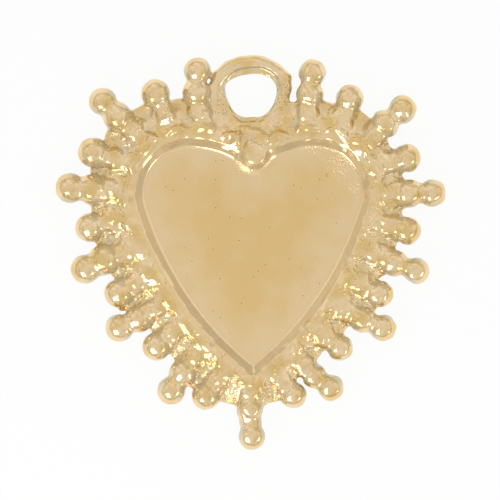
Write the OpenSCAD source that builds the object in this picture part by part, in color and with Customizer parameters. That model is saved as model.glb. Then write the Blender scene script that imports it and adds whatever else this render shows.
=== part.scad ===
// Heart charm: a recessed heart tray with a bezel, a ring of granules,
// twenty-five beaded rays and a fixed hanging loop.
// The modules draw the charm lying on its back, front up, with the loop's
// hole at the origin. stand_up() turns it upright, front towards -Y.

/* [Heart tray] */
// Distance between the centres of the two lobes
lobe_spacing = 9.6; // [8.6:0.1:10.6]
// Radius of a lobe's shoulder at the tray floor
lobe_r = 3.5; // [3:0.05:4]
// Radius of the flatter arc that runs from a lobe's crown to the cleft
crown_r = 6.85; // [6:0.05:8]
// Depth of the heart's point below the lobe centres
point_drop = 13.1; // [12:0.1:14.5]
// Angle below level at which a shoulder runs into the long side
shoulder_deg = 17; // [12:0.5:20]
// Height of the loop's hole above the lobe centres
loop_rise = 7.45; // [7.2:0.05:7.8]
// How far the tray stands to the right of the hole
tray_shift = 0.15; // [-0.2:0.05:0.2]

/* [Back plate] */
// Thickness of the plate and of the loop, which lie flush
plate_t = 1.1; // [0.9:0.05:1.4]
// Width of the flat web outside the tray
web_w = 3.55; // [3.3:0.05:3.8]
// How far the plate's outline stands to the left of the hole
plate_shift = 0.2; // [-0.2:0.05:0.2]
// Width of the web below the heart's point
point_web = 3.05; // [2.8:0.05:3.3]
// Radius of the arc that trims the web below the point
point_trim_r = 7.6; // [6.8:0.1:8.5]
// Height of the trimmed stretch
point_trim_h = 1.6; // [1.4:0.05:1.8]

/* [Bezel wall] */
// Height of the bezel above the plate
wall_h = 0.9; // [0.6:0.05:1.1]
// Width of its sloped inner face, seen from the front
slope_w = 0.55; // [0.35:0.05:0.6]
// Height of the upright foot below the slope
foot_h = 0.1; // [0.05:0.05:0.2]
// Width of its flat rim
rim_w = 0.2; // [0.15:0.05:0.3]

/* [Granules] */
// Radius of a granule on the bezel
ring_r = 0.8; // [0.7:0.01:0.82]
// Distance from the tray's edge to the granules' centres
ring_offset = 1.2; // [1.1:0.05:1.3]
// Height of those centres above the plate
ring_lift = 0.35; // [0.2:0.05:0.45]
// Radius of the granule in the cleft
cleft_r = 0.85; // [0.75:0.01:0.9]
// Distance from the tray's edge to the cleft granule's centre
cleft_offset = 1.1; // [1:0.05:1.3]

/* [Rays] */
// Radius of the bead next to the bezel's granule
inner_bead_r = 0.86; // [0.75:0.01:0.9]
// Radius of the bead that hangs over the plate's edge on a long ray
outer_bead_r = 0.93; // [0.8:0.01:0.95]
// Radius of a ray's end ball
tip_r = 1.0; // [0.9:0.01:1.02]
// Radius of the neck that joins the beads
neck_r = 0.62; // [0.4:0.01:0.7]
// Distance from a bezel granule to the inner bead
inner_pitch = 1.4; // [1.3:0.05:1.5]
// Distance from the inner bead to the outer bead on a long ray
outer_pitch = 1.55; // [1.4:0.05:1.65]
// Distance from the last bead to the end ball
tip_pitch = 1.65; // [1.5:0.05:1.75]

/* [Hanging loop] */
// Radius of the hole
hole_r = 1.86; // [1.7:0.02:1.9]
// Outer radius of the arch
loop_r = 3.05; // [2.95:0.02:3.08]
// Width of the ring that seats in the plate's notch below the hole
collar_w = 0.5; // [0.4:0.05:0.6]
// Fillet on the arch's outer edges
loop_fillet = 0.35; // [0.2:0.05:0.45]
// Chamfer on the rims of the hole
hole_chamfer = 0.2; // [0.1:0.05:0.3]
// How far the legs reach down from the hole's centre
leg_drop = 1.7; // [1.4:0.05:2]

/* [Hidden] */
$fn = 64;

// Rays are numbered anticlockwise from the loop's left leg, odd ones long.
ray_count = 25;
bottom_ray = 13;
// Places of the feet along each half of the granule ring, from cleft to point
left_foot_shares = [0.155, 0.22, 0.285, 0.35, 0.405, 0.465, 0.55, 0.63, 0.71, 0.775, 0.855, 0.93];
right_foot_shares = [0.155, 0.225, 0.295, 0.355, 0.415, 0.48, 0.55, 0.635, 0.71, 0.785, 0.88, 0.935];
// Lean of each ray away from square to the heart, positive towards the loop
left_leans = [0, 0, 0, 0, 0, 0, 0, 0, 6, 0, -6, 0];
right_leans = [-4, 0, 0, 0, 0, 0, 0, 0, 7, 0, 6, 0];
// Reach of each ray as a share of its full pitches
left_reach_shares = [1.01, 1.08, 1.05, 1.04, 0.93, 1.05, 1.01, 1.03, 0.98, 0.97, 0.94, 0.9];
right_reach_shares = [0.98, 0.99, 1, 0.92, 0.94, 0.94, 1.01, 0.95, 0.98, 0.88, 0.92, 0.85];
bottom_reach_share = 0.93;
// Size of each ray's balls as a share of the named radii
left_ball_shares = [0.93, 1.02, 0.98, 1.06, 1.05, 1.04, 1.04, 1.06, 1.02, 1.02, 1, 1];
right_ball_shares = [0.94, 0.95, 0.97, 0.99, 0.95, 0.99, 0.92, 0.98, 0.94, 0.95, 0.95, 0.94];
bottom_ball_share = 0.95;
// Place of the one granule on each side of the cleft that carries no ray
shoulder_foot_share = 0.075;

metal = "#D6B97F";
lobe_x = lobe_spacing / 2;
bezel_w = slope_w + rim_w;
collar_r = hole_r + collar_w;
// The long side is an arc that leaves the shoulder without a corner and ends at the point
side_gap = (pow(lobe_x, 2) + pow(point_drop, 2) - pow(lobe_r, 2))
    / (2 * (lobe_r + lobe_x * cos(shoulder_deg) - point_drop * sin(shoulder_deg)));
side_r = lobe_r + side_gap;
side_centre = [lobe_x - side_gap * cos(shoulder_deg), side_gap * sin(shoulder_deg)];
crown_centre = [lobe_x, lobe_r - crown_r];
// Plane where a bezel granule meets its ray's inner bead
seat_gap = (pow(inner_pitch, 2) + pow(ring_r, 2) - pow(inner_bead_r, 2)) / (2 * inner_pitch);
// How far the slope's cutters run on past a mitre, and past the seam between two arcs
mitre_run = 2 * bezel_w;
seam_run = slope_w / 2;
// Reach of the cutting blocks past what they cut
overrun = 2 * plate_t;
span = 4 * point_drop;

// The right half of the heart's outline as [centre, radius, start, end] arcs, cleft to point
function heart_arcs(grow) = [
    [crown_centre, crown_r + grow, 180 - acos(lobe_x / (crown_r + grow)), 90],
    [[lobe_x, 0], lobe_r + grow, 90, -shoulder_deg],
    [side_centre, side_r + grow, -shoulder_deg, -acos(-side_centre[0] / (side_r + grow))]];
function arc_length(arc) = abs(arc[3] - arc[2]) * PI / 180 * arc[1];
function arc_place(arc, run) =
    let (turn = arc[2] + (arc[3] - arc[2]) * run / arc_length(arc))
    [arc[0] + arc[1] * [cos(turn), sin(turn)], turn];
// An arc with its start and its end moved outward by the given runs
function run_on(arc, start_run, end_run) =
    let (turn = sign(arc[3] - arc[2]) * 180 / PI / arc[1])
    [arc[0], arc[1], arc[2] - turn * start_run, arc[3] + turn * end_run];
// A place and its outward direction, by its share of the way from cleft to point
function rim_place(share, grow) =
    let (arcs = heart_arcs(grow),
        lengths = [for (arc = arcs) arc_length(arc)],
        run = share * (lengths[0] + lengths[1] + lengths[2]))
    run <= lengths[0] ? arc_place(arcs[0], run)
        : run <= lengths[0] + lengths[1] ? arc_place(arcs[1], run - lengths[0])
        : arc_place(arcs[2], run - lengths[0] - lengths[1]);

function is_long(n) = n % 2 == 1;
function on_left(n) = n < bottom_ray;
function row_of(n) = on_left(n) ? n - 1 : ray_count - n;
function pick(n, left, right, bottom) =
    n == bottom_ray ? bottom : on_left(n) ? left[row_of(n)] : right[row_of(n)];
function reach(n) = pick(n, left_reach_shares, right_reach_shares, bottom_reach_share);
function ball(n) = pick(n, left_ball_shares, right_ball_shares, bottom_ball_share);
function lean(n) = pick(n, left_leans, right_leans, 0);
function foot(n) = n == bottom_ray ? [[0, -point_drop - ring_offset], -90]
    : rim_place(pick(n, left_foot_shares, right_foot_shares, 1), ring_offset);
function ray_name(n) = str("ray_", n < 10 ? "0" : "", n);

module stand_up() {
    color(metal) rotate([90, 0, 0]) translate([0, 0, -plate_t / 2]) children();
}

module disc(centre, r, h) {
    translate([centre[0], centre[1], 0]) cylinder(r = r, h = h);
}

// Solid heart, its outline a given distance outside the tray's
module heart(grow, h) {
    inset = lobe_r / 2;
    flank = span * [cos(shoulder_deg), -sin(shoulder_deg)];
    for (side = [0, 1]) mirror([side, 0, 0]) {
        disc([lobe_x, 0], lobe_r + grow, h);
        intersection() {
            disc(crown_centre, crown_r + grow, h);
            translate([-inset, -inset, 0]) cube([lobe_x + inset, span, h]);
        }
    }
    intersection() {
        disc(side_centre, side_r + grow, h);
        mirror([1, 0, 0]) disc(side_centre, side_r + grow, h);
        linear_extrude(height = h) polygon([[-lobe_x, 0], [lobe_x, 0], [lobe_x, 0] + flank,
            [span, -span], [-span, -span], [-lobe_x - flank[0], flank[1]]]);
    }
}

module at_heart(shift) {
    translate([shift, -loop_rise, 0]) children();
}

// The web's rounded end below the point
module point_trim() {
    end_y = -point_drop - point_web;
    difference() {
        translate([-span / 2, end_y + point_trim_h - span, -overrun]) cube(span);
        translate([0, end_y + point_trim_r, -2 * overrun])
            cylinder(r = point_trim_r, h = 2 * span);
    }
}

module plate_solid() {
    difference() {
        at_heart(-plate_shift) heart(web_w, plate_t);
        at_heart(-plate_shift) point_trim();
        translate([0, 0, -overrun]) cylinder(r = collar_r, h = plate_t + 2 * overrun);
    }
}

module bezel_blank() {
    at_heart(tray_shift) translate([0, 0, plate_t]) heart(bezel_w, wall_h);
}

// What the sloped face takes off the bezel along one arc of the tray's edge
module slope_cutter(arc) {
    slope = [slope_w, wall_h - foot_h];
    low = [arc[1], foot_h] - slope / 2;
    high = low + 2 * slope;
    translate([arc[0][0], arc[0][1], 0]) rotate(min(arc[2], arc[3]))
        rotate_extrude(angle = abs(arc[3] - arc[2])) polygon([low, high, [low[0], high[1]]]);
}

module back_plate() {
    stand_up() plate_solid();
}

module bezel_wall() {
    arcs = heart_arcs(0);
    stand_up() at_heart(tray_shift) translate([0, 0, plate_t]) difference() {
        heart(bezel_w, wall_h);
        translate([0, 0, -overrun]) heart(0, wall_h + 2 * overrun);
        for (side = [0, 1]) mirror([side, 0, 0]) {
            slope_cutter(run_on(arcs[0], mitre_run, seam_run));
            slope_cutter(run_on(arcs[1], -seam_run / 2, -seam_run / 2));
            intersection() {
                slope_cutter(run_on(arcs[2], seam_run, mitre_run));
                translate([0, -span, -span / 2]) cube(span);
            }
        }
    }
}

// Sets its children at a ray's foot, with the ray running out along +X
module at_ray(n) {
    place = foot(n);
    at_heart(0) mirror([on_left(n) ? 1 : 0, 0, 0])
        translate([place[0][0], place[0][1], 0]) rotate(place[1] + lean(n)) children();
}

// Everything on a ray's foot side of its seat plane
module foot_side(n) {
    edge = seat_gap * reach(n);
    translate([edge - span, -span / 2, -overrun]) cube([span, span, span]);
}

module ring_granule() {
    translate([0, 0, plate_t + ring_lift]) sphere(r = ring_r);
}

module wall_granules() {
    shoulder = rim_place(shoulder_foot_share, ring_offset)[0];
    stand_up() difference() {
        union() {
            for (n = [1:ray_count]) at_ray(n) intersection() {
                ring_granule();
                foot_side(n);
            }
            at_heart(0) for (side = [-1, 1]) translate([side * shoulder[0], shoulder[1], 0])
                ring_granule();
        }
        plate_solid();
        bezel_blank();
    }
}

module cleft_granule() {
    cleft = rim_place(0, cleft_offset)[0];
    stand_up() difference() {
        at_heart(tray_shift) translate([cleft[0], cleft[1], plate_t + ring_lift])
            sphere(r = cleft_r);
        plate_solid();
        bezel_blank();
    }
}

// A bead with its poles along the ray
module bead(x, z, r) {
    translate([x, 0, z]) rotate([0, -90, 0]) sphere(r = r);
}

// A ray's beads and neck; the beads past the plate's edge rest on the plane of its back
module ray_beads(n) {
    outer_r = outer_bead_r * ball(n);
    ball_r = tip_r * ball(n);
    inner_x = inner_pitch * reach(n);
    outer_x = inner_x + (is_long(n) ? outer_pitch * reach(n) : 0);
    tip_x = outer_x + tip_pitch * reach(n);
    bead(inner_x, plate_t, inner_bead_r);
    if (is_long(n)) bead(outer_x, outer_r, outer_r);
    bead(tip_x, ball_r, ball_r);
    translate([inner_x, 0, outer_r]) rotate([0, 90, 0]) cylinder(r = neck_r, h = tip_x - inner_x);
}

module ray(n) {
    stand_up() difference() {
        at_ray(n) difference() {
            ray_beads(n);
            foot_side(n);
        }
        plate_solid();
    }
}

// Section of the arch, from inside the hole's wall to the rounded outer edge
module arch_section() {
    core_r = (hole_r + collar_r) / 2;
    for (y = [loop_fillet, plate_t - loop_fillet])
        translate([loop_r - loop_fillet, y]) circle(r = loop_fillet);
    translate([core_r, 0]) square([loop_r - loop_fillet - core_r, plate_t]);
    translate([core_r, loop_fillet]) square([loop_r - core_r, plate_t - 2 * loop_fillet]);
}

module hole_cutter() {
    translate([0, 0, -overrun]) cylinder(r = hole_r, h = plate_t + 2 * overrun);
    translate([0, 0, -hole_chamfer])
        cylinder(r1 = hole_r + 2 * hole_chamfer, r2 = hole_r, h = 2 * hole_chamfer);
    translate([0, 0, plate_t - hole_chamfer])
        cylinder(r1 = hole_r, r2 = hole_r + 2 * hole_chamfer, h = 2 * hole_chamfer);
}

module hanging_loop() {
    stand_up() difference() {
        union() {
            cylinder(r = collar_r, h = plate_t);
            rotate_extrude(angle = 180) arch_section();
            for (side = [0, 1]) mirror([side, 0, 0]) translate([0, -leg_drop, 0])
                rotate([-90, 0, 0]) mirror([0, 1, 0]) linear_extrude(height = leg_drop) arch_section();
        }
        plate_solid();
        hole_cutter();
    }
}

back_plate();
bezel_wall();
wall_granules();
cleft_granule();
hanging_loop();
for (n = [1:ray_count]) ray(n);
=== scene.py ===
"""Dresses the heart charm: a gold plated casting, modelled whole and then cut at its old seams."""
import logging
import math
from dataclasses import dataclass, field
from enum import Enum
from typing import Protocol, Sequence

import bmesh
import bpy
import numpy as np
from mathutils import Matrix, Vector, kdtree, noise


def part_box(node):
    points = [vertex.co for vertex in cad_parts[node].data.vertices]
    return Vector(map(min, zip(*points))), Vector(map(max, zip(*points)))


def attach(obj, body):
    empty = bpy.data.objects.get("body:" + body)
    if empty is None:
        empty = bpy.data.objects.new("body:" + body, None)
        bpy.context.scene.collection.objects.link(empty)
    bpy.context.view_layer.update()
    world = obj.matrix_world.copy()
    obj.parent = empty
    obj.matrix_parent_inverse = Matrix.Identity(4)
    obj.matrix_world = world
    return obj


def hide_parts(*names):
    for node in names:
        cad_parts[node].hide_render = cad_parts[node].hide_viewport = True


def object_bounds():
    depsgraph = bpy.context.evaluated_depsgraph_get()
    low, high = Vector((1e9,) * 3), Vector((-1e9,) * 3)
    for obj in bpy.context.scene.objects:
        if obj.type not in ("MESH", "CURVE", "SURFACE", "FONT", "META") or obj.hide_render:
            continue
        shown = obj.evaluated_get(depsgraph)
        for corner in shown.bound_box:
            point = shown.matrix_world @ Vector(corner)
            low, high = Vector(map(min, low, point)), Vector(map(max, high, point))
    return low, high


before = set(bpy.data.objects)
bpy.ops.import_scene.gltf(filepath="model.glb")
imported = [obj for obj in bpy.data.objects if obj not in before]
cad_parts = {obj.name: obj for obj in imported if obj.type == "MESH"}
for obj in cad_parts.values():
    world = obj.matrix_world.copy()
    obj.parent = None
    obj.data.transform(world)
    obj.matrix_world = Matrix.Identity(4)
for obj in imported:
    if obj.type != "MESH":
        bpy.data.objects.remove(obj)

LOG = logging.getLogger("heart_charm")
CAD_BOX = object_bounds()

MM = 0.001
# The photograph: a pixel's size on the charm, the middle of the loop's hole, its width and height
PIXEL_MM = 0.0762
HOLE_PX = (251.0, 95.5)
VIEW_PX = 500
# The skin's fineness, which keeps the largest piece under 200,000 triangles
VOXEL_MM = 0.088
SHARP_DEG = 50
# What a noise node's value mostly keeps between
NOISE_LOW, NOISE_HIGH = 0.3, 0.7

Point = tuple[float, float]
Place = tuple[float, float, float]


def in_frame(px: float, py: float) -> Point:
    """Turns a pixel of the photograph into a place in the charm's plane.

    Args:
        px: pixels from the left edge.
        py: pixels from the top edge.

    Returns:
        x and z in millimetres from the centre of the loop's hole.
    """
    return (px - HOLE_PX[0]) * PIXEL_MM, (HOLE_PX[1] - py) * PIXEL_MM


def linear(hex_colour: str) -> tuple[float, float, float, float]:
    """Turns an sRGB hex colour into linear red, green, blue and an alpha of 1.

    Args:
        hex_colour: six hex digits after a hash sign.

    Returns:
        The linear colour.
    """
    parts = [int(hex_colour[i:i + 2], 16) / 255 for i in (1, 3, 5)]
    flat = [c / 12.92 if c <= 0.04045 else ((c + 0.055) / 1.055) ** 2.4 for c in parts]
    return flat[0], flat[1], flat[2], 1.0


# Depths along Y in millimetres: the plate as the frame has it, the seam between the plate and what
# stands on it, and two that are clear of all metal
PLATE_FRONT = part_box("back_plate")[0].y / MM
PLATE_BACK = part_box("back_plate")[1].y / MM
PLATE_MIDDLE = (PLATE_FRONT + PLATE_BACK) / 2
SEAM = PLATE_FRONT + 0.04
IN_FRONT = PLATE_FRONT - 3.0
BEHIND = PLATE_BACK + 1.0


def rising(values: np.ndarray, ramp: Point) -> np.ndarray:
    """Shares that rise from 0 at a ramp's start to 1 after its width."""
    return np.clip((values - ramp[0]) / ramp[1], 0, 1)


def falling(values: np.ndarray, ramp: Point) -> np.ndarray:
    """Shares that fall to 0 at a ramp's end, from 1 its width before it."""
    return np.clip((ramp[0] - values) / ramp[1], 0, 1)


def gap_to(places: np.ndarray, centre: Point) -> np.ndarray:
    """How far rows of x, y and z lie from a centre, as seen from the front."""
    return np.hypot(places[:, 0] - centre[0], places[:, 2] - centre[1])


@dataclass(frozen=True)
class Heart:
    """The heart's outline: three arcs a side, from the cleft round the lobe to the point."""

    lobe_spacing: float = 9.6
    lobe_r: float = 3.5
    crown_r: float = 6.85
    point_drop: float = 13.1
    shoulder_deg: float = 17.0
    rise: float = 7.45

    def arcs(self, grow: float) -> list[tuple[Point, float, float, float]]:
        """The right half's arcs.

        Args:
            grow: millimetres outside the tray's edge.

        Returns:
            Centre, radius, start and end angle of each arc, from the cleft to the point.
        """
        lobe_x = self.lobe_spacing / 2
        turn = math.radians(self.shoulder_deg)
        gap = (lobe_x ** 2 + self.point_drop ** 2 - self.lobe_r ** 2) / (
            2 * (self.lobe_r + lobe_x * math.cos(turn) - self.point_drop * math.sin(turn)))
        side_r = self.lobe_r + gap + grow
        side = (lobe_x - gap * math.cos(turn), gap * math.sin(turn))
        crown_r = self.crown_r + grow
        start = math.pi - math.acos(lobe_x / crown_r)
        end = -math.acos(-side[0] / side_r)
        return [((lobe_x, self.lobe_r - self.crown_r), crown_r, start, math.pi / 2),
                ((lobe_x, 0.0), self.lobe_r + grow, math.pi / 2, -turn),
                (side, side_r, -turn, end)]

    def distance(self, places: np.ndarray) -> np.ndarray:
        """How far places lie outside the tray's edge.

        Args:
            places: rows of x, y and z in millimetres from the loop's hole.

        Returns:
            Millimetres, below nought inside the tray.
        """
        unmeasured = -99.0
        x, z = np.abs(places[:, 0]), places[:, 2] + self.rise
        crown, lobe, side = self.arcs(0.0)
        far = np.hypot(x - side[0][0], z - side[0][1]) - side[1]
        near = np.hypot(x - lobe[0][0], z - lobe[0][1]) - lobe[1]
        low = np.arctan2(z - lobe[0][1], x - lobe[0][0]) < side[2]
        over = np.hypot(x - crown[0][0], z - crown[0][1]) - crown[1]
        top = (x < lobe[0][0]) & (z > 0)
        found = np.where(top, over, np.where(low, far, near))
        turn = np.arctan2(z - crown[0][1], x - crown[0][0])
        facing = (turn > crown[3]) & (turn < crown[2])
        cleft = crown[0][1] + math.sqrt(crown[1] ** 2 - crown[0][0] ** 2)
        nearest = np.maximum(np.where(facing, over, unmeasured), -np.hypot(x, z - cleft))
        nearest = np.where(top, nearest, np.maximum(nearest, found))
        return np.where(found < 0, nearest, found)

    def half(self, grow: float, step: float) -> list[Point]:
        """Points along the right half, from the cleft to the point.

        Args:
            grow: millimetres outside the tray's edge.
            step: the most millimetres between two points at the tray's edge.

        Returns:
            Places from the loop's hole. Their number doesn't depend on grow.
        """
        places = []
        for arc, base in zip(self.arcs(grow), self.arcs(0.0)):
            count = math.ceil(abs(base[3] - base[2]) * base[1] / step)
            for i in range(count + 1):
                turn = arc[2] + (arc[3] - arc[2]) * i / count
                place = (arc[0][0] + arc[1] * math.cos(turn),
                         arc[0][1] + arc[1] * math.sin(turn) - self.rise)
                if not places or math.dist(places[-1], place) > step / 100:
                    places.append(place)
        return places

    def loop(self, grow: float, shift: float = 0.0, step: float = 0.2) -> list[Point]:
        """The whole outline.

        Args:
            grow: millimetres outside the tray's edge.
            shift: millimetres that it stands to the right of the hole.
            step: the most millimetres between two points at the tray's edge.

        Returns:
            Points clockwise from the cleft, as seen from the front.
        """
        right = self.half(grow, step)
        left = [(-x, z) for x, z in reversed(right[1:-1])]
        return [(x + shift, z) for x, z in right + left]


HEART = Heart()


def in_scene(name: str, data: bpy.types.ID) -> bpy.types.Object:
    """Puts a new object with some data into the scene.

    Args:
        name: its name.
        data: its mesh, lamp or camera.

    Returns:
        The object.
    """
    made = bpy.data.objects.new(name, data)
    bpy.context.scene.collection.objects.link(made)
    return made


def opened(mesh: bpy.types.Mesh) -> bmesh.types.BMesh:
    """A mesh's copy, open for editing."""
    bm = bmesh.new()
    bm.from_mesh(mesh)
    return bm


def closed_up(bm: bmesh.types.BMesh, name: str) -> bpy.types.Mesh:
    """Turns an open mesh into a named one, and frees it.

    Args:
        bm: the open mesh.
        name: the new mesh's name.

    Returns:
        The mesh.
    """
    mesh = bpy.data.meshes.new(name)
    bm.to_mesh(mesh)
    bm.free()
    return mesh


def at_depth(outline: Sequence[Point], depth: float) -> list[Place]:
    """Lays an outline at a depth in millimetres along Y."""
    return [(x, depth, z) for x, z in outline]


def loft(rings: Sequence[Sequence[Place]], closed: bool = False) -> bmesh.types.BMesh:
    """Bridges rings of points into a closed body.

    Args:
        rings: each ring's points in millimetres, in order.
        closed: True joins the last ring to the first, and False caps both.

    Returns:
        The body, in millimetres.
    """
    bm = bmesh.new()
    loops = []
    for ring in rings:
        verts = [bm.verts.new(place) for place in ring]
        loops.append([bm.edges.new((verts[i - 1], verts[i])) for i in range(len(verts))])
    pairs = list(zip(loops, loops[1:]))
    if closed:
        pairs.append((loops[-1], loops[0]))
    else:
        bmesh.ops.contextual_create(bm, geom=loops[0])
        bmesh.ops.contextual_create(bm, geom=loops[-1])
    for first, second in pairs:
        bmesh.ops.bridge_loops(bm, edges=first + second)
    bmesh.ops.recalc_face_normals(bm, faces=bm.faces)
    return bm


def heart_loft(levels: Sequence[Point], shift: float = 0.0, closed: bool = True) -> bmesh.types.BMesh:
    """Lofts outlines of the heart.

    Args:
        levels: how far each one stands outside the tray's edge, and its depth, in millimetres.
        shift: millimetres that they stand to the right of the hole.
        closed: True joins the last one to the first, and False caps both.

    Returns:
        The body, in millimetres.
    """
    return loft([at_depth(HEART.loop(grow, shift), depth) for grow, depth in levels], closed)


def above_plate(seams: Point, shift: float = 0.0) -> bmesh.types.BMesh:
    """The space above the plate between two outlines of the heart.

    Args:
        seams: how far both stand outside the tray's edge, in millimetres.
        shift: millimetres that they stand to the right of the hole.

    Returns:
        The space as a body.
    """
    inner, outer = seams
    return heart_loft([(inner, SEAM), (inner, IN_FRONT), (outer, IN_FRONT), (outer, SEAM)], shift)


def pour(target: bmesh.types.BMesh, part: bmesh.types.BMesh) -> None:
    """Adds a part's mesh to another and frees the part.

    Args:
        target: the mesh that takes it.
        part: the mesh that is added.
    """
    mesh = closed_up(part, "part")
    target.from_mesh(mesh)
    bpy.data.meshes.remove(mesh)


def lump(target: bmesh.types.BMesh, centre: Vector, radii: Vector, turn: float = 0.0,
         square: float = 2.0) -> None:
    """Adds an egg-shaped lump of metal.

    Args:
        target: the mesh that takes it.
        centre: its centre in millimetres.
        radii: its half sizes along its own length, through the plate and across.
        turn: the angle of its length above +X, in radians, as seen from the front.
        square: 2 for a round top, and more for a top worn flat.
    """
    part = bmesh.new()
    bmesh.ops.create_icosphere(part, subdivisions=4, radius=1.0)
    for vert in part.verts:
        across = math.hypot(vert.co.x, vert.co.z)
        vert.co /= (across ** square + abs(vert.co.y) ** square) ** (1 / square)
    place = Matrix.Translation(centre) @ Matrix.Rotation(-turn, 4, "Y") @ Matrix.Diagonal((*radii, 1.0))
    part.transform(place)
    pour(target, part)


def stem(target: bmesh.types.BMesh, start: Vector, end: Vector, r_start: float, r_end: float) -> None:
    """Adds a tapered neck between two beads.

    Args:
        target: the mesh that takes it.
        start: the middle of one end, in millimetres.
        end: the middle of the other end.
        r_start: the radius at the start.
        r_end: the radius at the end.
    """
    part = bmesh.new()
    line = end - start
    place = Matrix.Translation((start + end) / 2) @ line.to_track_quat("Z", "Y").to_matrix().to_4x4()
    bmesh.ops.create_cone(part, cap_ends=True, segments=32, radius1=r_start, radius2=r_end,
                          depth=line.length, matrix=place)
    pour(target, part)


@dataclass(frozen=True)
class Bead:
    """One bead of a ray: its centre and radius in the photograph's pixels."""

    px: float
    py: float
    r_px: float

    @property
    def r(self) -> float:
        """Radius in millimetres, with a little more for the photograph's soft edge."""
        return (self.r_px + 0.2) * PIXEL_MM

    @property
    def place(self) -> Point:
        """Centre in millimetres."""
        return in_frame(self.px, self.py)


@dataclass(frozen=True)
class Ray:
    """A ray: a row of beads that runs out from the bezel's granule at its foot.

    Past edge_gap from the foot, in millimetres, its cell is as deep as the charm.
    """

    number: int
    foot: Bead
    inner: Bead
    outer: tuple[Bead, ...]
    neck_share: float = 0.68
    margin: float = 0.1
    edge_gap: float = 2.45
    inner_top: float = 0.82
    inner_flat: float = 0.8
    edge_step: float = 0.001
    cell_steps: int = 40
    tip_half: float = 0.02

    @property
    def name(self) -> str:
        """The node's name."""
        return f"ray_{self.number:02d}"

    def rests(self) -> list[tuple[Vector, float]]:
        """Centres and radii of the beads past the foot, in millimetres."""
        x, z = self.inner.place
        depth = PLATE_FRONT - self.inner_top + self.inner.r * self.inner_flat
        found = [(Vector((x, depth, z)), self.inner.r)]
        for bead in self.outer:
            x, z = bead.place
            found.append((Vector((x, PLATE_BACK - bead.r, z)), bead.r))
        return found

    def build(self, target: bmesh.types.BMesh) -> None:
        """Adds the ray's metal to the casting.

        Args:
            target: the casting's mesh.
        """
        foot_x, foot_z = self.foot.place
        last, last_r = Vector((foot_x, PLATE_FRONT, foot_z)), self.foot.r
        for number, (centre, r) in enumerate(self.rests()):
            flat = self.inner_flat if number == 0 else 1.0
            lump(target, centre, Vector((r, r * flat, r)))
            neck = self.neck_share * min(r, last_r)
            stem(target, last, centre, neck, neck)
            last, last_r = centre, r

    def axis(self) -> tuple[Vector, Vector]:
        """The ray's foot and its direction, both in the plate's plane."""
        start, end = Vector(self.foot.place), Vector(self.outer[-1].place)
        return start, (end - start).normalized()

    def cell(self) -> bmesh.types.BMesh:
        """The space that holds the ray.

        Returns:
            A body that is shallow over the plate and deep past its edge.
        """
        start, along = self.axis()
        across = Vector((-along.y, along.x))
        rows = [(start, self.foot.r)] + [(Vector((c.x, c.z)), r) for c, r in self.rests()]
        spans = [((p - start).dot(along), (p - start).dot(across), r + self.margin) for p, r in rows]
        seat = (spans[0][0] + spans[1][0]) / 2
        far = spans[-1][0] + spans[-1][2]
        edge = self.edge_gap
        stops = sorted({seat, edge - self.edge_step, edge, far} | {
            seat + (far - seat) * i / self.cell_steps for i in range(1, self.cell_steps)})
        rings = []
        for stop in stops:
            right, left = self.flanks(spans, stop)
            floor = SEAM if stop < edge else BEHIND
            corners = [(left, IN_FRONT), (right, IN_FRONT), (right, floor), (left, floor)]
            places = [(start + along * stop + across * side, depth) for side, depth in corners]
            rings.append([(place.x, depth, place.y) for place, depth in places])
        return loft(rings)

    def flanks(self, spans: list[tuple[float, float, float]], stop: float) -> tuple[float, float]:
        """How far the cell reaches to both sides at one stop along the ray.

        Args:
            spans: each bead's distance along the ray, its offset across and its reach.
            stop: the distance along the ray.

        Returns:
            The offsets across of the right and the left flank.
        """
        lows, highs = [], []
        for (a, offset_a, r_a), (b, offset_b, r_b) in zip(spans, spans[1:]):
            share = min(1.0, max(0.0, (stop - a) / (b - a)))
            mid = offset_a + (offset_b - offset_a) * share
            half = self.neck_share * min(r_a, r_b)
            if a <= stop <= b:
                lows.append(mid - half)
                highs.append(mid + half)
        for a, offset, r in spans:
            if abs(stop - a) < r:
                half = math.sqrt(r * r - (stop - a) ** 2)
                lows.append(offset - half)
                highs.append(offset + half)
        if not lows:
            return spans[-1][1] + self.tip_half, spans[-1][1] - self.tip_half
        return max(highs), min(lows)


def ray(number: int, foot: Place, inner: Place, *outer: Place) -> Ray:
    """A ray from its beads' places and radii in the photograph, from the foot to the end ball."""
    return Ray(number, Bead(*foot), Bead(*inner), tuple(Bead(*place) for place in outer))


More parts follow.
